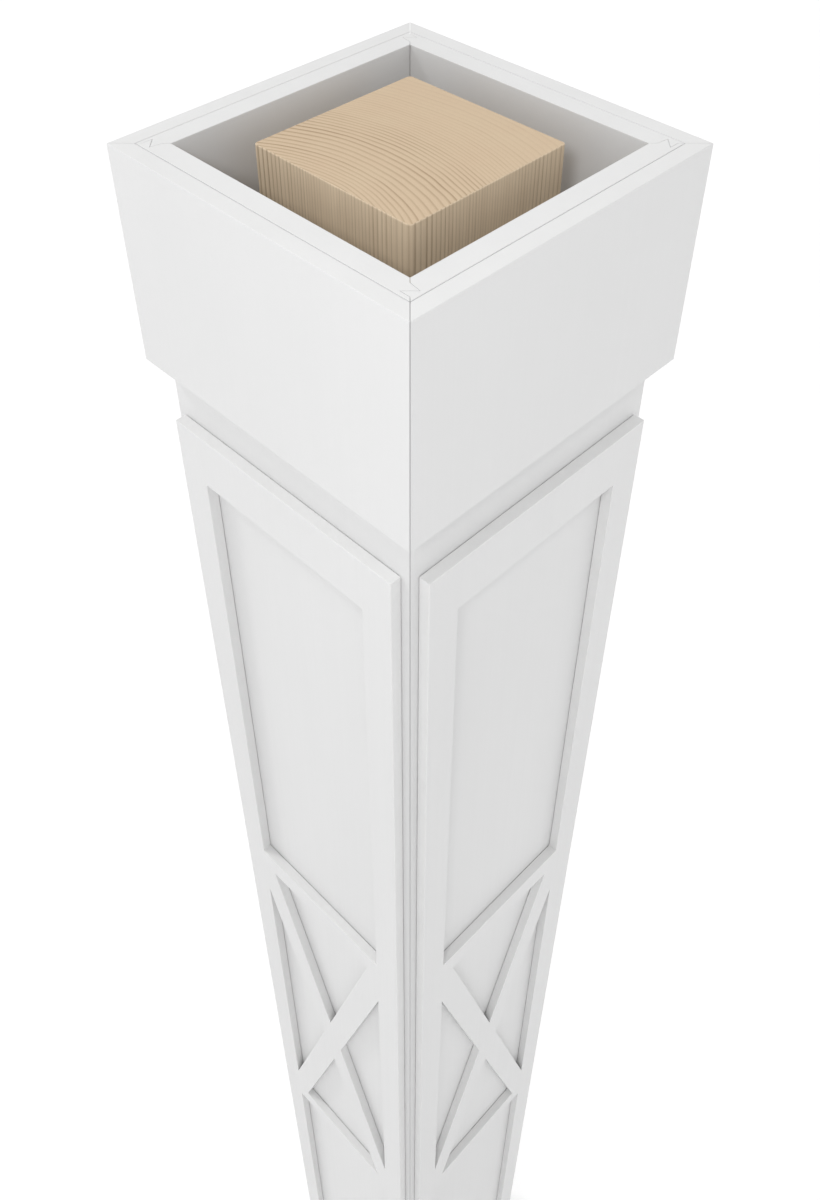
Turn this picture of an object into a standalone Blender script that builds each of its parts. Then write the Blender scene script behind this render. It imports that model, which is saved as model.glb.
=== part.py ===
"""Square porch column: a timber post wrapped in four lock-mitred boards, with mitred collar boards
at the top, mitred base boards at the foot and a fretwork panel on each face.

Metres, +Z up. The origin is on the ground at the middle of the post, and the front face looks
along -Y. Run with: blender --background --python part.py
"""
import math

import bmesh
import bpy
from mathutils import Vector

# Overall
COLUMN_HEIGHT = 2.4384  # 8 ft, ground to the top of the post
JOINT_GAP = 0.0003  # between pieces that touch

# Timber post
POST_WIDTH = 0.1397  # a dressed 6 x 6
POST_ARRIS = 0.003175  # radius of its eased corners
ARRIS_FACETS = 4

# Wrap boards around the post
WRAP_CAVITY = 0.0365125  # post face to the back of a wrap board
WRAP_THICKNESS = 0.015875

# Lock mitre along the corners of the wrap
LOCK_LIP = 0.0029  # plain mitre at the outer corner, measured as depth from the face
LOCK_CROSSING = 0.00695  # depth at which the tongue's flank crosses the mitre line
LOCK_HEEL = 0.0035  # plain mitre at the inner corner, measured as depth from the back
LOCK_REACH = 0.0054  # how far the tongue's tip stands out from the mitre line

# Collar boards at the top and base boards at the foot
COLLAR_HEIGHT = 0.17145
COLLAR_THICKNESS = 0.0127
BASE_HEIGHT = 0.3429
BASE_THICKNESS = 0.0127

# Fretwork panels
FRET_THICKNESS = 0.009525
FRET_SIDE_MARGIN = 0.0079375  # wrap corner to the panel's side
FRET_TOP_MARGIN = 0.047625  # collar to the panel's top
FRET_FOOT_MARGIN = 0.047625  # base board to the panel's foot
STILE_WIDTH = 0.028575
END_RAIL_HEIGHT = 0.047625
MID_RAIL_HEIGHT = 0.028575
CROSS_HEIGHT = 0.6096  # opening that holds the two braces
BRACE_WIDTH = 0.028575

# What follows from those sizes
wrapBack = POST_WIDTH / 2 + WRAP_CAVITY
wrapFace = wrapBack + WRAP_THICKNESS
trimBack = wrapFace + JOINT_GAP
fretWidth = 2 * (wrapFace - FRET_SIDE_MARGIN)
fretFoot = BASE_HEIGHT + FRET_FOOT_MARGIN
fretTop = COLUMN_HEIGHT - COLLAR_HEIGHT - FRET_TOP_MARGIN
sides = ("front", "right", "back", "left")


def clear_scene():
    """Empties the file of whatever objects it opened with."""
    for item in list(bpy.data.objects):
        bpy.data.objects.remove(item, do_unlink=True)


def make_material(name, colour, roughness):
    material = bpy.data.materials.new(name)
    material.use_nodes = True
    shader = material.node_tree.nodes["Principled BSDF"]
    shader.inputs["Base Color"].default_value = (*colour, 1.0)
    shader.inputs["Roughness"].default_value = roughness
    shader.inputs["Metallic"].default_value = 0.0
    return material


def place(name, mesh, material, turn=0.0):
    """Adds one object, turned about the column's axis."""
    mesh.materials.append(material)
    item = bpy.data.objects.new(name, mesh)
    item.rotation_euler = (0.0, 0.0, turn)
    bpy.context.collection.objects.link(item)
    return item


def slab(name, loops, lift, normal_rise):
    """A flat shape with optional holes, given as closed loops of 3-D points in one plane,
    thickened by the vector lift. normal_rise says whether lift is above the loops' plane."""
    form = bmesh.new()
    edges = []
    for loop in loops:
        corners = [form.verts.new(point) for point in loop]
        edges += [form.edges.new(pair) for pair in zip(corners, corners[1:] + corners[:1])]
    filled = bmesh.ops.triangle_fill(form, use_beauty=True, edges=edges, normal=normal_rise)
    faces = [part for part in filled["geom"] if isinstance(part, bmesh.types.BMFace)]
    grown = bmesh.ops.extrude_face_region(form, geom=faces, use_keep_orig=True)
    moved = [part for part in grown["geom"] if isinstance(part, bmesh.types.BMVert)]
    bmesh.ops.translate(form, verts=moved, vec=lift)
    bmesh.ops.recalc_face_normals(form, faces=form.faces)
    mesh = bpy.data.meshes.new(name)
    form.to_mesh(mesh)
    form.free()
    return mesh


def upright(name, outline, low, high):
    """A prism standing on a plan outline of (x, y) points, from low to high."""
    loop = [Vector((x, y, low)) for x, y in outline]
    return slab(name, [loop], Vector((0.0, 0.0, high - low)), Vector((0.0, 0.0, 1.0)))


def offset_path(path, distance):
    """Moves an open path of (p, q) points sideways by distance, towards larger p where q rises."""
    lines = []
    for start, end in zip(path, path[1:]):
        along = (end - start).normalized()
        across = Vector((along.y, -along.x)) * distance
        lines.append((start + across, along))
    moved = [lines[0][0]]
    for (first, way), (second, other) in zip(lines, lines[1:]):
        turn = way.cross(other)
        moved.append(first + way * ((second - first).cross(other) / turn))
    moved.append(lines[-1][0] + lines[-1][1] * (path[-1] - path[-2]).length)
    return moved


def lock_mitre(thickness, tongue):
    """One end of a wrap board as (p, q) points from the outer face to the back: p runs in from
    the corner of the column, q is the depth below the outer face.

    Both ends follow one bent line along the mitre p = q. Between the two plain stretches it
    swings out to one side, crosses straight over the mitre and comes back from the other side.
    The tongue end has the swing near its back, and the groove end is the same line mirrored."""
    swing = LOCK_REACH / math.sqrt(2)
    near = Vector((LOCK_CROSSING + swing, LOCK_CROSSING - swing))
    far = Vector((LOCK_CROSSING - swing, LOCK_CROSSING + swing))
    heel = thickness - LOCK_HEEL
    line = [Vector((0.0, 0.0)), Vector((LOCK_LIP, LOCK_LIP))]
    line += [near, far] if tongue else [far, near]
    line += [Vector((heel, heel)), Vector((thickness, thickness))]
    shifted = offset_path(line, JOINT_GAP / 2)
    slip = JOINT_GAP / math.sqrt(2)
    shifted[0] = Vector((slip, 0.0))
    shifted[-1] = Vector((thickness + slip, thickness))
    return shifted


def ring_board(name, face, thickness, left_end, right_end, low, high):
    """One of four boards that ring the column, facing -Y, from its ends' (p, q) points."""
    left = [(p - face, q - face) for p, q in left_end]
    right = [(face - p, q - face) for p, q in reversed(right_end)]
    return upright(name, left + right, low, high)


def plain_mitre(thickness):
    slip = JOINT_GAP / math.sqrt(2)
    return [(slip, 0.0), (thickness + slip, thickness)]


def fret_openings(width, low, high):
    """The panel's openings as loops of (x, z): a tall one at each end and, between the middle
    rails, the four triangles that the crossed braces leave."""
    half = width / 2 - STILE_WIDTH
    middle = (low + high) / 2
    rise = CROSS_HEIGHT / 2
    reach = rise + MID_RAIL_HEIGHT
    slope = math.atan2(half, rise)
    up = BRACE_WIDTH / 2 / math.sin(slope)
    out = BRACE_WIDTH / 2 / math.cos(slope)
    loops = [
        [(-half, middle + reach), (half, middle + reach), (half, high - END_RAIL_HEIGHT),
         (-half, high - END_RAIL_HEIGHT)],
        [(-half, low + END_RAIL_HEIGHT), (half, low + END_RAIL_HEIGHT), (half, middle - reach),
         (-half, middle - reach)],
    ]
    for way in (1, -1):
        loops.append([(0.0, middle + way * up), (half - out, middle + way * rise),
                      (out - half, middle + way * rise)])
        loops.append([(way * out, middle), (way * half, middle + rise - up),
                      (way * half, middle - rise + up)])
    return loops


def fret_panel(name):
    """One fretwork panel, cut from a single sheet, facing -Y."""
    half = fretWidth / 2
    outline = [(-half, fretFoot), (half, fretFoot), (half, fretTop), (-half, fretTop)]
    loops = [outline] + fret_openings(fretWidth, fretFoot, fretTop)
    placed = [[Vector((x, -trimBack, z)) for x, z in loop] for loop in loops]
    return slab(name, placed, Vector((0.0, -FRET_THICKNESS, 0.0)), Vector((0.0, -1.0, 0.0)))


def post(material):
    """The structural post, its four long corners eased to a radius."""
    centre = POST_WIDTH / 2 - POST_ARRIS
    outline = []
    for quarter, (x, y) in enumerate(((1, 1), (-1, 1), (-1, -1), (1, -1))):
        for facet in range(ARRIS_FACETS + 1):
            angle = (quarter + facet / ARRIS_FACETS) * math.pi / 2
            outline.append((x * centre + POST_ARRIS * math.cos(angle),
                            y * centre + POST_ARRIS * math.sin(angle)))
    place("timber_post", upright("timber_post", outline, 0.0, COLUMN_HEIGHT), material)


def wrap_boards(material):
    tongue = lock_mitre(WRAP_THICKNESS, True)
    groove = lock_mitre(WRAP_THICKNESS, False)
    mesh = ring_board("wrap_board", wrapFace, WRAP_THICKNESS, groove, tongue, 0.0, COLUMN_HEIGHT)
    for step, side in enumerate(sides):
        place("wrap_board_" + side, mesh.copy(), material, step * math.pi / 2)


def trim_boards(family, thickness, low, high, material):
    """Four mitred boards planted on the outside of the wrap."""
    end = plain_mitre(thickness)
    mesh = ring_board(family, trimBack + thickness, thickness, end, end, low, high)
    for step, side in enumerate(sides):
        place(family + "_" + side, mesh.copy(), material, step * math.pi / 2)


def fret_panels(material):
    mesh = fret_panel("fretwork")
    for step, side in enumerate(sides):
        place("fretwork_" + side, mesh.copy(), material, step * math.pi / 2)


def main():
    clear_scene()
    timber = make_material("Post timber", (0.44, 0.33, 0.22), 0.75)
    board = make_material("Wrap board white", (0.80, 0.80, 0.79), 0.45)
    trim = make_material("Trim board white", (0.84, 0.84, 0.83), 0.45)
    sheet = make_material("Fretwork sheet white", (0.80, 0.80, 0.79), 0.45)
    post(timber)
    wrap_boards(board)
    trim_boards("collar_board", COLLAR_THICKNESS, COLUMN_HEIGHT - COLLAR_HEIGHT, COLUMN_HEIGHT, trim)
    trim_boards("base_board", BASE_THICKNESS, 0.0, BASE_HEIGHT, trim)
    fret_panels(sheet)


main()
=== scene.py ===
import math

import bpy
import numpy as np
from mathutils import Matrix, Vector
from mathutils.geometry import tessellate_polygon


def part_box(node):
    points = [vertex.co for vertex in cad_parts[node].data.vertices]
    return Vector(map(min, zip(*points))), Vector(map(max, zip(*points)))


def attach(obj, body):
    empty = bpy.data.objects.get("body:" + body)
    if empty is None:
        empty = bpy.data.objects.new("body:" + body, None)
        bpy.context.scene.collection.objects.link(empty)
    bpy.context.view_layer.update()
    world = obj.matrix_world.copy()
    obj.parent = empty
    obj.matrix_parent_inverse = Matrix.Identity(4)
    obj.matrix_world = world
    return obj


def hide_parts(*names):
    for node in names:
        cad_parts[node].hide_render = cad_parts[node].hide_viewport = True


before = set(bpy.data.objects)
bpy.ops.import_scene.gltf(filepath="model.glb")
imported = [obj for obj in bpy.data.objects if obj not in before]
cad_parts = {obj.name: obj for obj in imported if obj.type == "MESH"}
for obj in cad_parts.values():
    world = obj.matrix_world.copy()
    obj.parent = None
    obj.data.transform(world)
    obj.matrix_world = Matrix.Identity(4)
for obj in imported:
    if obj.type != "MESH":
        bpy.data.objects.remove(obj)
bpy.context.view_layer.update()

print("frame loaded with", len(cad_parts), "nodes")

# Camera and light
view = {
    "place": (0.4805, -0.4805, 2.7928),  # beside the front right corner, above the top
    "turn": 45.0,  # degrees from looking along +Y towards -X
    "down": 41.26,
    "lens": 35.5,  # mm, for the picture's long side
    "sensor": 36.0,  # mm
    "shift": -0.14,
    "nearest": 0.02,  # m; nothing closer is drawn
}
studio = {
    # brightness of the sky at the sine of each elevation
    "sky": ((0.0, 1.0), (0.34, 1.0), (0.55, 0.72), (0.85, 0.64)),
    # each far lamp: direction towards it, strength, softness in degrees
    "keyLight": ((-0.88, -0.37, 1.00), 0.80, 9.0),
    "fillLight": ((0.60, -0.10, 0.90), 0.10, 30.0),
    "backLight": ((-0.20, 0.60, 0.90), 0.10, 30.0),
    # a near lamp, whose light fades down the column
    "headLight": {"place": (0.58, -1.00, 3.25), "aim": (0.0, 0.0, 2.2), "watts": 5.6, "size": 0.25},
    "floorColour": (0.96, 0.96, 0.96),
    "floorShade": (0.94, 0.94, 0.94),
    "floorGlow": 0.10,  # brings the floor up to the white of the sky
    "floorCloud": (3.0, 3.0, 0.5),  # noise: scale, detail and roughness
    "floorRoughness": 0.9,
    "floorRadius": 60.0,
    "floorDrop": 0.0002,  # under the column's foot
    "floorRings": 24,
    "floorSpokes": 64,
}

# Materials


def nodeIn(tree, kind, values=None, **settings):
    made = tree.nodes.new(kind)
    for key, value in settings.items():
        setattr(made, key, value)
    for key, value in (values or {}).items():
        made.inputs[key].default_value = value
    return made


def maths(tree, operation, *inputs):  # one Math node, its inputs sockets or plain numbers
    made = nodeIn(tree, "ShaderNodeMath", operation=operation)
    for slot, value in enumerate(inputs):
        if isinstance(value, bpy.types.NodeSocket):
            tree.links.new(value, made.inputs[slot])
        else:
            made.inputs[slot].default_value = value
    return made.outputs[0]


def spread(tree, value, low, high):  # 0..1 becomes low..high
    made = nodeIn(tree, "ShaderNodeMapRange", {"To Min": low, "To Max": high})
    tree.links.new(value, made.inputs["Value"])
    return made.outputs["Result"]


def noise(tree, place, scale, detail, roughness, rise=1.0):  # rise scales it along the column
    scaled = nodeIn(tree, "ShaderNodeMapping", {"Scale": (1.0, 1.0, rise)})
    tree.links.new(place, scaled.inputs["Vector"])
    made = nodeIn(tree, "ShaderNodeTexNoise",
                  {"Scale": scale, "Detail": detail, "Roughness": roughness})
    tree.links.new(scaled.outputs["Vector"], made.inputs["Vector"])
    return made.outputs["Fac"]


def ramp(tree, value, stops):  # a grey level at each value, and straight lines between them
    made = nodeIn(tree, "ShaderNodeValToRGB")
    marks = made.color_ramp.elements
    while len(marks) < len(stops):
        marks.new(0.5)
    for mark, (place, level) in zip(marks, stops):
        mark.position = place
        mark.color = (level, level, level, 1.0)
    tree.links.new(value, made.inputs["Fac"])
    return made.outputs["Color"]


def blendColour(tree, share, first, second):
    # a Mix node keeps its colours in sockets 6 and 7 and gives their blend from output 2
    made = nodeIn(tree, "ShaderNodeMix", data_type="RGBA")
    tree.links.new(share, made.inputs[0])
    for slot, colour in ((6, first), (7, second)):
        if isinstance(colour, bpy.types.NodeSocket):
            tree.links.new(colour, made.inputs[slot])
        else:
            made.inputs[slot].default_value = (*colour, 1.0)
    return made.outputs[2]


def raised(tree, height, strength, depth, under=None):  # a bump, over another one if there is one
    made = nodeIn(tree, "ShaderNodeBump", {"Strength": strength, "Distance": depth})
    tree.links.new(height, made.inputs["Height"])
    if under is not None:
        tree.links.new(under, made.inputs["Normal"])
    return made.outputs["Normal"]


def newFinish(name):
    material = bpy.data.materials.new(name)
    material.use_nodes = True
    tree = material.node_tree
    shader = tree.nodes["Principled BSDF"]
    place = nodeIn(tree, "ShaderNodeTexCoord").outputs["Object"]
    return material, tree, shader, place


# Timber
grain = {
    # each noise below: scale, detail, roughness and, where it is drawn out, its rise
    "pith": (0.003, -0.178),  # middle of the growth rings, well outside the post
    "ringStep": 0.0036,
    "ringWander": 0.0060,  # how far a ring strays from its circle
    "ringNoise": (11.0, 3.0, 0.55),
    "wideRing": 0.148,  # distance from the pith where the rings are widest
    "ringPeriod": 0.095,
    "ringBunch": -0.30,  # share by which the rings widen there and close up half a period away
    # how plainly the rings show, at each share of clearSpan beyond clearFrom from the pith
    "clearFrom": 0.10,
    "clearSpan": 0.16,
    "clear": ((0.0, 0.50), (0.20, 0.80), (0.30, 1.0), (0.46, 1.0), (0.58, 0.40), (0.80, 0.22)),
    "lineStep": 0.0023,  # upright lines on the sides, across the diagonal
    "lineWander": 0.0030,
    "lineNoise": (34.0, 3.0, 0.55, 0.05),
    "facePeriod": 0.0988,  # a face's width across the diagonal
    "lineBunch": -0.32,
    "lineContrast": (0.45, 1.05),  # at the middle of a face and at its corners
    # darkness along one step of a ring or line, from its start to its end
    "stepProfile": ((0.0, 0.30), (0.08, 0.0), (0.55, 0.05), (0.78, 0.55), (0.90, 1.0), (1.0, 0.30)),
    "stepStrength": (0.45, 1.0),
    "stepFade": (0.20, 1.80),
    "fadeNoise": (22.0, 2.0, 0.6, 0.25),
    "light": (0.600, 0.476, 0.327),
    "warm": (0.589, 0.446, 0.306),
    "late": (0.280, 0.180, 0.095),
    "cloudNoise": (30.0, 3.0, 0.6),
    "poreNoise": (1500.0, 2.0, 0.7),
    "poreShare": (-0.10, 0.20),
    "endRoughness": (0.82, 0.66),
    # each bump: strength and depth
    "ringBump": (0.5, 0.0003),
    "poreBump": (0.35, 0.00025),
    "sideLight": (0.690, 0.565, 0.408),
    "sideWarm": (0.618, 0.492, 0.349),
    "sideLate": (0.310, 0.225, 0.145),
    "bandNoise": (160.0, 3.0, 0.6, 0.02),
    "bandShare": (-0.3, 1.3),
    "fibreNoise": (1300.0, 2.0, 0.6, 0.012),
    "fibreShare": (-0.15, 0.40),
    "sideRoughness": (0.60, 0.78),
    "lineBump": (0.6, 0.0003),
    "fibreBump": (0.4, 0.0002),
}


def phase(tree, distance, middle, period):  # 2 pi (distance - middle) / period
    return maths(tree, "MULTIPLY", maths(tree, "SUBTRACT", distance, middle), 2 * math.pi / period)


def bunched(tree, distance, middle, period, share):
    # distance + share * period / 2 pi * sin(phase): its slope, and so the number of lines there, is
    # 1 + share at the middle and 1 - share half a period away
    sine = maths(tree, "SINE", phase(tree, distance, middle, period))
    return maths(tree, "ADD", distance, maths(tree, "MULTIPLY", sine, share * period / (2 * math.pi)))


def strayed(tree, distance, wander, field):  # moved by noise, up to half of wander each way
    return maths(tree, "ADD", distance, spread(tree, field, -wander / 2, wander / 2))


def grainLines(tree, distance, step, place):
    # distance counted in steps: each step pales slowly, darkens near its end and breaks off sharply,
    # and each step takes its own strength from noise
    turns = maths(tree, "DIVIDE", distance, step)
    line = ramp(tree, maths(tree, "FRACT", turns), grain["stepProfile"])
    own = nodeIn(tree, "ShaderNodeTexWhiteNoise", noise_dimensions="1D")
    tree.links.new(maths(tree, "FLOOR", turns), own.inputs["W"])
    strength = spread(tree, own.outputs["Value"], *grain["stepStrength"])
    fade = spread(tree, noise(tree, place, *grain["fadeNoise"]), *grain["stepFade"])
    return maths(tree, "MULTIPLY", maths(tree, "MULTIPLY", line, strength), fade)


def endGrain():
    material, tree, shader, place = newFinish("postEndGrain")
    off = nodeIn(tree, "ShaderNodeVectorMath", operation="SUBTRACT")
    tree.links.new(place, off.inputs[0])
    off.inputs[1].default_value = (*grain["pith"], 0.0)
    flat = nodeIn(tree, "ShaderNodeVectorMath", operation="MULTIPLY")
    tree.links.new(off.outputs[0], flat.inputs[0])
    flat.inputs[1].default_value = (1.0, 1.0, 0.0)
    length = nodeIn(tree, "ShaderNodeVectorMath", operation="LENGTH")
    tree.links.new(flat.outputs[0], length.inputs[0])
    distance = length.outputs["Value"]
    ringPlace = strayed(tree, distance, grain["ringWander"], noise(tree, place, *grain["ringNoise"]))
    spaced = bunched(tree, ringPlace, grain["wideRing"], grain["ringPeriod"], grain["ringBunch"])
    lines = grainLines(tree, spaced, grain["ringStep"], place)
    reach = maths(tree, "DIVIDE", maths(tree, "SUBTRACT", distance, grain["clearFrom"]),
                  grain["clearSpan"])
    rings = maths(tree, "MULTIPLY", lines, ramp(tree, reach, grain["clear"]))
    pores = noise(tree, place, *grain["poreNoise"])
    cloud = noise(tree, place, *grain["cloudNoise"])
    body = blendColour(tree, cloud, grain["light"], grain["warm"])
    ringed = blendColour(tree, rings, body, grain["late"])
    speckled = blendColour(tree, spread(tree, pores, *grain["poreShare"]), ringed, grain["late"])
    tree.links.new(speckled, shader.inputs["Base Color"])
    tree.links.new(spread(tree, rings, *grain["endRoughness"]), shader.inputs["Roughness"])
    ridges = raised(tree, rings, *grain["ringBump"])
    tree.links.new(raised(tree, pores, *grain["poreBump"], ridges), shader.inputs["Normal"])
    return material


def sideGrain():
    material, tree, shader, place = newFinish("postSideGrain")
    split = nodeIn(tree, "ShaderNodeSeparateXYZ")
    tree.links.new(place, split.inputs[0])
    # distance along the diagonal of the post's plan: (x + y) / sqrt 2
    across = maths(tree, "MULTIPLY", maths(tree, "ADD", split.outputs["X"], split.outputs["Y"]),
                   math.sqrt(0.5))
    linePlace = strayed(tree, across, grain["lineWander"], noise(tree, place, *grain["lineNoise"]))
    spaced = bunched(tree, linePlace, 0.0, grain["facePeriod"], grain["lineBunch"])
    # contrast follows (1 + cos(phase)) / 2: 1 at the post's corners, 0 at the middle of each face
    cosine = maths(tree, "COSINE", phase(tree, linePlace, 0.0, grain["facePeriod"]))
    contrast = spread(tree, maths(tree, "MULTIPLY_ADD", cosine, 0.5, 0.5), *grain["lineContrast"])
    lines = maths(tree, "MULTIPLY", grainLines(tree, spaced, grain["lineStep"], place), contrast)
    fibres = noise(tree, place, *grain["fibreNoise"])
    bands = noise(tree, place, *grain["bandNoise"])
    body = blendColour(tree, spread(tree, bands, *grain["bandShare"]), grain["sideLight"],
                       grain["sideWarm"])
    lined = blendColour(tree, lines, body, grain["sideLate"])
    fibred = blendColour(tree, spread(tree, fibres, *grain["fibreShare"]), lined, grain["sideLate"])
    tree.links.new(fibred, shader.inputs["Base Color"])
    tree.links.new(spread(tree, fibres, *grain["sideRoughness"]), shader.inputs["Roughness"])
    ridges = raised(tree, lines, *grain["lineBump"])
    tree.links.new(raised(tree, fibres, *grain["fibreBump"], ridges), shader.inputs["Normal"])
    return material


# White cellular plastic
plastic = {
    # noises and bumps as in grain
    "skinPale": (0.695, 0.695, 0.695),
    "skinDeep": (0.660, 0.660, 0.660),
    "skinCloud": (7.0, 4.0, 0.55, 0.4),
    "skinShare": (-0.2, 1.2),
    "dieNoise": (420.0, 3.0, 0.6, 0.004),
    "dieShare": (-0.15, 0.35),
    "skinRoughness": (0.36, 0.50),
    "dieBump": (0.12, 0.0002),
    "gritNoise": (1900.0, 2.0, 0.5),
    "gritBump": (0.10, 0.0001),
    "cutPale": (0.750, 0.750, 0.748),
    "cutDeep": (0.685, 0.685, 0.682),
    "cutCloud": (25.0, 3.0, 0.6),
    "cellScale": 1700.0,
    # painted shade in the open cells' pits: how far the colour darkens at the middle of a cell and at
    # its rim
    "pitShadeShare": (0.30, -0.10),
    "cellBump": (0.30, 0.0002),
    "markNoise": (700.0, 2.0, 0.6, 0.6),
    "markBump": (0.20, 0.00015),
    "cutRoughness": (0.62, 0.80),
    "refraction": 1.53,
}


def boardSkin():  # extruded skin: long faint die lines, soft clouds, an even satin
    material, tree, shader, place = newFinish("boardSkin")
    clouds = noise(tree, place, *plastic["skinCloud"])
    dieLines = noise(tree, place, *plastic["dieNoise"])
    grit = noise(tree, place, *plastic["gritNoise"])
    body = blendColour(tree, spread(tree, clouds, *plastic["skinShare"]), plastic["skinPale"],
                       plastic["skinDeep"])
    lined = blendColour(tree, spread(tree, dieLines, *plastic["dieShare"]), body, plastic["skinDeep"])
    tree.links.new(lined, shader.inputs["Base Color"])
    tree.links.new(spread(tree, dieLines, *plastic["skinRoughness"]), shader.inputs["Roughness"])
    shader.inputs["IOR"].default_value = plastic["refraction"]
    ridges = raised(tree, dieLines, *plastic["dieBump"])
    tree.links.new(raised(tree, grit, *plastic["gritBump"], ridges), shader.inputs["Normal"])
    return material


def boardCut():  # sawn or routed edge: open cells and fine cutter marks, matt
    material, tree, shader, place = newFinish("boardCutEdge")
    voronoi = nodeIn(tree, "ShaderNodeTexVoronoi", {"Scale": plastic["cellScale"]})
    tree.links.new(place, voronoi.inputs["Vector"])
    cells = voronoi.outputs["Distance"]
    marks = noise(tree, place, *plastic["markNoise"])
    clouds = noise(tree, place, *plastic["cutCloud"])
    body = blendColour(tree, clouds, plastic["cutPale"], plastic["cutDeep"])
    # painted shade: the colour darkens towards the middle of each cell, where the bump below sets its
    # pit
    pitShaded = blendColour(tree, spread(tree, cells, *plastic["pitShadeShare"]), body, plastic["cutDeep"])
    tree.links.new(pitShaded, shader.inputs["Base Color"])
    tree.links.new(spread(tree, marks, *plastic["cutRoughness"]), shader.inputs["Roughness"])
    shader.inputs["IOR"].default_value = plastic["refraction"]
    pits = raised(tree, cells, *plastic["cellBump"])
    tree.links.new(raised(tree, marks, *plastic["markBump"], pits), shader.inputs["Normal"])
    return material


endWood, sideWood = endGrain(), sideGrain()
skin, cutEdge = boardSkin(), boardCut()
print("materials made")

# Surfaces


def inwardWays(loop, share):
    # for each corner of a closed plan loop, the vector w that shifts each edge inwards by its share:
    # w . n = share for the inward normals n of the edges before and after the corner
    ahead = np.roll(loop, -1, axis=0) - loop
    ahead /= np.linalg.norm(ahead, axis=1)[:, None]
    after = np.stack([-ahead[:, 1], ahead[:, 0]], axis=1)
    before = np.roll(after, 1, axis=0)
    shareBefore = np.roll(share, 1)
    cross = before[:, 0] * after[:, 1] - before[:, 1] * after[:, 0]
    return np.stack([shareBefore * after[:, 1] - share * before[:, 1],
                     share * before[:, 0] - shareBefore * after[:, 0]], axis=1) / cross[:, None]


def easedLoop(loop, ease, steps):
    # each corner V becomes a short curve (1-t)^2 A + 2t(1-t) V + t^2 B between the points A and B
    # that lie `ease` before and after it
    ahead = np.roll(loop, -1, axis=0) - loop
    ahead /= np.linalg.norm(ahead, axis=1)[:, None]
    before = loop - np.roll(ahead, 1, axis=0) * ease
    after = loop + ahead * ease
    t = np.linspace(0.0, 1.0, steps + 1)[None, :, None]
    curve = (1 - t) ** 2 * before[:, None] + 2 * t * (1 - t) * loop[:, None] + t ** 2 * after[:, None]
    return curve.reshape(-1, 2)


def quarter(ease, steps):  # (inset, depth) along a quarter circle, from the flat face to the side
    angle = np.linspace(0.0, math.pi / 2, steps + 1)
    return np.stack([ease * (1 - np.sin(angle)), ease * (1 - np.cos(angle))], axis=1)


def carriedSolid(loops, ways, thickness, ease, steps, wallSlots):
    # loops of (u, v), the outer one anticlockwise and the holes clockwise, carried through the
    # thickness w: each ring of points is the loop moved along its inward ways by the profile's inset
    # at its depth, and the first and last rings are closed by flat faces. wallSlots gives each
    # wall's material.
    rise = quarter(ease, steps)
    fall = np.stack([rise[::-1, 0], thickness - rise[::-1, 1]], axis=1)
    profile = np.concatenate([rise, fall])
    points, quads, slots, caps = [], [], [], []
    start = 0
    for loop, inward, wall in zip(loops, ways, wallSlots):
        count = len(loop)
        flat = loop[None] + inward[None] * profile[:, 0, None, None]
        depth = np.broadcast_to(profile[:, 1, None, None], (len(profile), count, 1))
        points.append(np.concatenate([flat, depth], axis=2).reshape(-1, 3))
        ring = np.arange(len(profile) - 1)[:, None] * count
        here = np.arange(count)[None]
        following = (here + 1) % count
        quads.append(np.stack([start + ring + here, start + ring + following,
                               start + ring + count + following, start + ring + count + here],
                              axis=2).reshape(-1, 4))
        slots.append(np.tile(wall, len(profile) - 1))
        caps.append(start + np.arange(count))
        start += len(profile) * count
    everyPoint = np.concatenate(points)
    rim = np.concatenate(caps)
    shift = np.concatenate([np.full(len(c), (len(profile) - 1) * len(c)) for c in caps])
    split = np.array(tessellate_polygon([(everyPoint[c] * (1, 1, 0)).tolist() for c in caps]))
    a, b, c = (everyPoint[rim[split[:, k]]][:, :2] for k in range(3))
    turn = (b - a)[:, 0] * (c - a)[:, 1] - (b - a)[:, 1] * (c - a)[:, 0]
    split[turn < 0] = split[turn < 0][:, ::-1]
    near = rim[split][:, ::-1]  # faces down the thickness axis
    far = (rim + shift)[split]
    return everyPoint, np.concatenate(quads), np.concatenate(slots), near, far


def meshFrom(name, place, quads, quadSlots, flats, flatSlots, finishes):
    mesh = bpy.data.meshes.new(name)
    sizes = np.concatenate([np.full(len(quads), 4), np.full(len(flats), 3)])
    starts = np.concatenate([[0], np.cumsum(sizes)[:-1]])
    corners = np.concatenate([quads.ravel(), flats.ravel()])
    mesh.vertices.add(len(place))
    mesh.vertices.foreach_set("co", place.astype(np.float32).ravel())
    mesh.loops.add(len(corners))
    mesh.loops.foreach_set("vertex_index", corners.astype(np.int32))
    mesh.polygons.add(len(sizes))
    mesh.polygons.foreach_set("loop_start", starts.astype(np.int32))
    for finish in finishes:
        mesh.materials.append(finish)
    slots = np.concatenate([quadSlots, flatSlots])
    mesh.polygons.foreach_set("material_index", slots.astype(np.int32))
    mesh.update(calc_edges=True)
    mesh.validate()
    mesh.shade_flat()
    made = bpy.data.objects.new(name, mesh)
    bpy.context.scene.collection.objects.link(made)
    return made


def turned(place, quarters):  # about the column's axis, in steps of 90 degrees
    c, s = ((1, 0), (0, 1), (-1, 0), (0, -1))[quarters]
    x, y, z = place.T
    return np.stack([x * c - y * s, x * s + y * c, z], axis=1)


def settle(piece, node):
    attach(piece, "root")
    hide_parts(node)


sides = ("front", "right", "back", "left")

# Timber post
post = {
    "arris": 0.003175,
    "arrisSteps": 10,
    "endEase": 0.0006,
    "endSteps": 2,
}


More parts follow.
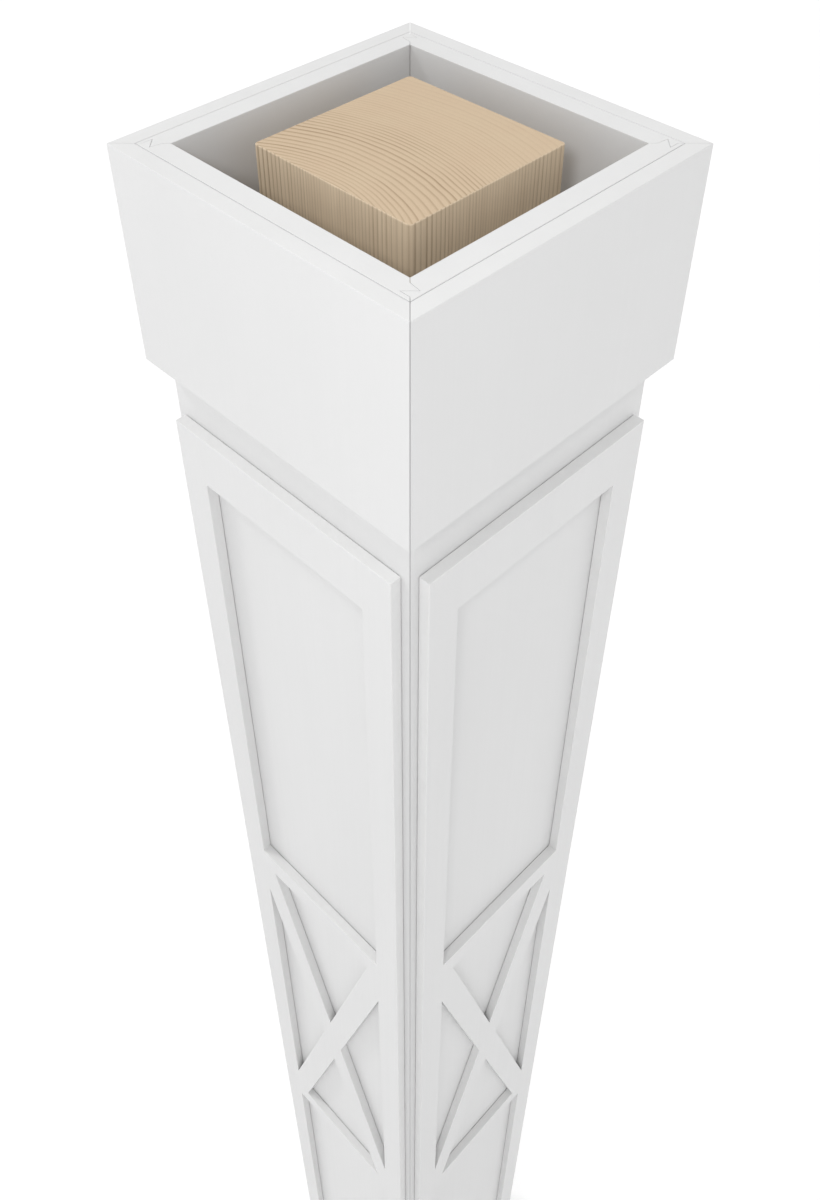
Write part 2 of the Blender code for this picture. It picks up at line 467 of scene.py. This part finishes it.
def roundedSquare(half, radius, steps):
    # four quarter circles, each about a centre `radius` in from both faces
    angle = np.arange(4)[:, None] * math.pi / 2 + np.linspace(0.0, math.pi / 2, steps + 1)[None]
    centre = (half - radius) * np.array([[1, 1], [-1, 1], [-1, -1], [1, -1]])
    return (centre[:, None] + radius * np.stack([np.cos(angle), np.sin(angle)], axis=2)).reshape(-1, 2)


def makePost():
    low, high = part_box("timber_post")
    loop = roundedSquare(high.x, post["arris"], post["arrisSteps"])
    ways = inwardWays(loop, np.ones(len(loop)))
    place, quads, slots, near, far = carriedSolid([loop], [ways], high.z - low.z, post["endEase"],
                                                  post["endSteps"], [np.zeros(len(loop), int)])
    place[:, 2] += low.z
    flats = np.concatenate([near, far])
    piece = meshFrom("postTimber", place, quads, slots, flats, np.ones(len(flats), int),
                     [sideWood, endWood])
    settle(piece, "timber_post")


makePost()
print("post made")

# Wrap boards with their lock mitres
wrap = {
    "lip": 0.0029,  # depth of the plain mitre at the outer corner
    "crossing": 0.00695,  # depth at which the tongue's flank crosses the mitre
    "heel": 0.0035,  # depth of the plain mitre at the inner corner, from the back
    "reach": 0.0054,  # tongue's tip beyond the mitre
    "gap": 0.0003,
    "cornerEase": 0.00015,
    "cornerSteps": 2,
    "endEase": 0.0004,
    "endSteps": 2,
}


def lockEnd(thickness, tongue):
    # the bent line along the mitre p = q, shifted by half of the gap: p runs in from the column's
    # corner and q is the depth below the outer face
    swing = wrap["reach"] / math.sqrt(2)
    near = (wrap["crossing"] + swing, wrap["crossing"] - swing)
    far = (wrap["crossing"] - swing, wrap["crossing"] + swing)
    heel = thickness - wrap["heel"]
    bends = (near, far) if tongue else (far, near)
    line = np.array([(0.0, 0.0), (wrap["lip"],) * 2, *bends, (heel,) * 2, (thickness,) * 2])
    way = np.diff(line, axis=0)
    way /= np.linalg.norm(way, axis=1)[:, None]
    side = np.stack([way[:, 1], -way[:, 0]], axis=1)
    middle = (side[:-1] + side[1:]) / (1 + (side[:-1] * side[1:]).sum(axis=1))[:, None]
    moved = line.copy()
    moved[1:-1] += middle * wrap["gap"] / 2
    slip = wrap["gap"] / math.sqrt(2)
    moved[0] = (slip, 0.0)
    moved[-1] = (thickness + slip, thickness)
    return moved


def boardLoop(face, leftEnd, rightEnd):  # anticlockwise from above: in by the right end, out by the left
    right = rightEnd * (-1, 1) + (face, -face)
    left = leftEnd - face
    return np.concatenate([right, left[::-1]])


def makeRing(name, node, loop, settings, low, high):
    # the loop is one end's points and then the other's. The two edges that join the ends lie on the
    # sheet's own faces, and their rims are eased; all the others are cut edges.
    count = len(loop) // 2
    faceEdges = np.array([count - 1, 2 * count - 1])
    steps = settings["cornerSteps"]
    share = np.zeros(len(loop))
    share[faceEdges] = 1.0
    walls = np.ones(len(loop) * (steps + 1), int)
    walls[faceEdges * (steps + 1) + steps] = 0
    eased = easedLoop(loop, settings["cornerEase"], steps)
    ways = np.repeat(inwardWays(loop, share), steps + 1, axis=0)
    place, quads, slots, near, far = carriedSolid([eased], [ways], high - low, settings["endEase"],
                                                  settings["endSteps"], [walls])
    place[:, 2] += low
    flats = np.concatenate([near, far])
    for step, side in enumerate(sides):
        piece = meshFrom(name + side.capitalize(), turned(place, step), quads, slots, flats,
                         np.ones(len(flats), int), [skin, cutEdge])
        settle(piece, node + "_" + side)


def makeWraps():
    low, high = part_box("wrap_board_front")
    thickness = high.y - low.y
    loop = boardLoop(-low.y, lockEnd(thickness, False), lockEnd(thickness, True))
    makeRing("wrapBoard", "wrap_board", loop, wrap, low.z, high.z)


makeWraps()
print("wrap boards made")

# Collar boards and base boards
trim = {
    "cornerEase": 0.00018,
    "cornerSteps": 2,
    "endEase": 0.0005,
    "endSteps": 2,
}


def makeTrim(name, node):
    # the slip is how far a board's tip stays short of the column's corner, for the mitre's gap
    low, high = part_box(node + "_front")
    thickness = high.y - low.y
    slip = -low.y - high.x
    end = np.array([(slip, 0.0), (thickness + slip, thickness)])
    makeRing(name, node, boardLoop(-low.y, end, end), trim, low.z, high.z)


makeTrim("collarBoard", "collar_board")
makeTrim("baseBoard", "base_board")
print("collar and base boards made")

# Fretwork panels
fret = {
    "stile": 0.028575,
    "endRail": 0.047625,
    "midRail": 0.028575,
    "crossHeight": 0.6096,
    "brace": 0.028575,
    "edgeEase": 0.0005,
    "edgeSteps": 2,
}


def fretLoops(low, high):
    # outer loop, two tall openings, and the four triangles between two braces that run from corner to
    # corner: a brace of width b at slope angle a cuts b / 2 / sin a up the middle and b / 2 / cos a out.
    # The triangles of the second way are listed backwards, so that every hole runs clockwise.
    half = high.x - fret["stile"]
    middle = (low.z + high.z) / 2
    rise = fret["crossHeight"] / 2
    reach = rise + fret["midRail"]
    slope = math.atan2(half, rise)
    up = fret["brace"] / 2 / math.sin(slope)
    out = fret["brace"] / 2 / math.cos(slope)
    loops = [np.array([(low.x, low.z), (high.x, low.z), (high.x, high.z), (low.x, high.z)])]
    openings = ((middle + reach, high.z - fret["endRail"]), (low.z + fret["endRail"], middle - reach))
    for foot, head in openings:
        loops.append(np.array([(-half, foot), (-half, head), (half, head), (half, foot)]))
    for way in (1, -1):
        loops.append(np.array([(0.0, middle + way * up), (out - half, middle + way * rise),
                               (half - out, middle + way * rise)])[::way])
        loops.append(np.array([(way * out, middle), (way * half, middle + rise - up),
                               (way * half, middle - rise + up)])[::way])
    return loops


def makeFrets():
    low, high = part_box("fretwork_front")
    loops = fretLoops(low, high)
    ways = [inwardWays(loop, np.ones(len(loop))) for loop in loops]
    walls = [np.ones(len(loop), int) for loop in loops]
    flat, quads, slots, near, far = carriedSolid(loops, ways, high.y - low.y, fret["edgeEase"],
                                                 fret["edgeSteps"], walls)
    # the panel stands up, so depth runs along +Y and the faces' order turns round
    place = np.stack([flat[:, 0], low.y + flat[:, 2], flat[:, 1]], axis=1)
    quads = quads[:, ::-1]
    flats = np.concatenate([near, far])[:, ::-1]
    for step, side in enumerate(sides):
        piece = meshFrom("fretwork" + side.capitalize(), turned(place, step), quads, slots, flats,
                         np.zeros(len(flats), int), [skin, cutEdge])
        settle(piece, "fretwork_" + side)


makeFrets()
print("fretwork made")

# Floor, lights and camera


def makeFloor():
    # a flat disc: radius times (cos a, sin a), its rings closer together near the middle
    rings = studio["floorRadius"] * np.linspace(0.0, 1.0, studio["floorRings"] + 1)[1:] ** 2
    angle = np.arange(studio["floorSpokes"]) * 2 * math.pi / studio["floorSpokes"]
    flat = rings[:, None, None] * np.stack([np.cos(angle), np.sin(angle)], axis=1)[None]
    place = np.concatenate([flat.reshape(-1, 2), np.zeros((1, 2))])
    place = np.concatenate([place, np.full((len(place), 1), -studio["floorDrop"])], axis=1)
    count = len(angle)
    ring = np.arange(len(rings) - 1)[:, None] * count
    here = np.arange(count)[None]
    following = (here + 1) % count
    quads = np.stack([ring + here, ring + count + here, ring + count + following, ring + following],
                     axis=2).reshape(-1, 4)
    middle = np.stack([np.full(count, len(place) - 1), here[0], following[0]], axis=1)
    material, tree, shader, point = newFinish("studioFloor")
    cloud = noise(tree, point, *studio["floorCloud"])
    tinted = blendColour(tree, cloud, studio["floorColour"], studio["floorShade"])
    tree.links.new(tinted, shader.inputs["Base Color"])
    shader.inputs["Roughness"].default_value = studio["floorRoughness"]
    shader.inputs["Emission Color"].default_value = (1.0, 1.0, 1.0, 1.0)
    shader.inputs["Emission Strength"].default_value = studio["floorGlow"]
    floor = meshFrom("studioFloor", place, quads, np.zeros(len(quads), int), middle,
                     np.zeros(len(middle), int), [material])


def makeLamp(name):
    towards, strength, softness = studio[name]
    lamp = bpy.data.lights.new(name, "SUN")
    lamp.energy = strength
    lamp.angle = math.radians(softness)
    made = bpy.data.objects.new(name, lamp)
    made.rotation_euler = Vector(towards).to_track_quat("Z", "Y").to_euler()
    bpy.context.scene.collection.objects.link(made)


def makeHeadLamp():
    settings = studio["headLight"]
    lamp = bpy.data.lights.new("headLight", "AREA")
    lamp.energy = settings["watts"]
    lamp.size = settings["size"]
    made = bpy.data.objects.new("headLight", lamp)
    made.location = settings["place"]
    away = Vector(settings["place"]) - Vector(settings["aim"])
    made.rotation_euler = away.to_track_quat("Z", "Y").to_euler()
    made.visible_camera = False
    bpy.context.scene.collection.objects.link(made)


def makeSky():  # brightness by height alone
    world = bpy.data.worlds.new("studioSky")
    world.use_nodes = True
    tree = world.node_tree
    split = nodeIn(tree, "ShaderNodeSeparateXYZ")
    tree.links.new(nodeIn(tree, "ShaderNodeTexCoord").outputs["Generated"], split.inputs[0])
    shade = ramp(tree, split.outputs["Z"], studio["sky"])
    tree.links.new(shade, tree.nodes["Background"].inputs["Color"])
    bpy.context.scene.world = world


def makeCamera():
    lens = bpy.data.cameras.new("photoCamera")
    lens.lens = view["lens"]
    lens.sensor_width = view["sensor"]
    lens.shift_y = view["shift"]
    lens.clip_start = view["nearest"]
    made = bpy.data.objects.new("photoCamera", lens)
    made.location = view["place"]
    made.rotation_euler = (math.radians(90.0 - view["down"]), 0.0, math.radians(view["turn"]))
    bpy.context.scene.collection.objects.link(made)
    bpy.context.scene.camera = made


makeFloor()
makeSky()
for lampName in ("keyLight", "fillLight", "backLight"):
    makeLamp(lampName)
makeHeadLamp()
makeCamera()
bpy.context.scene.view_settings.view_transform = "Standard"
print("floor, lights and camera made")
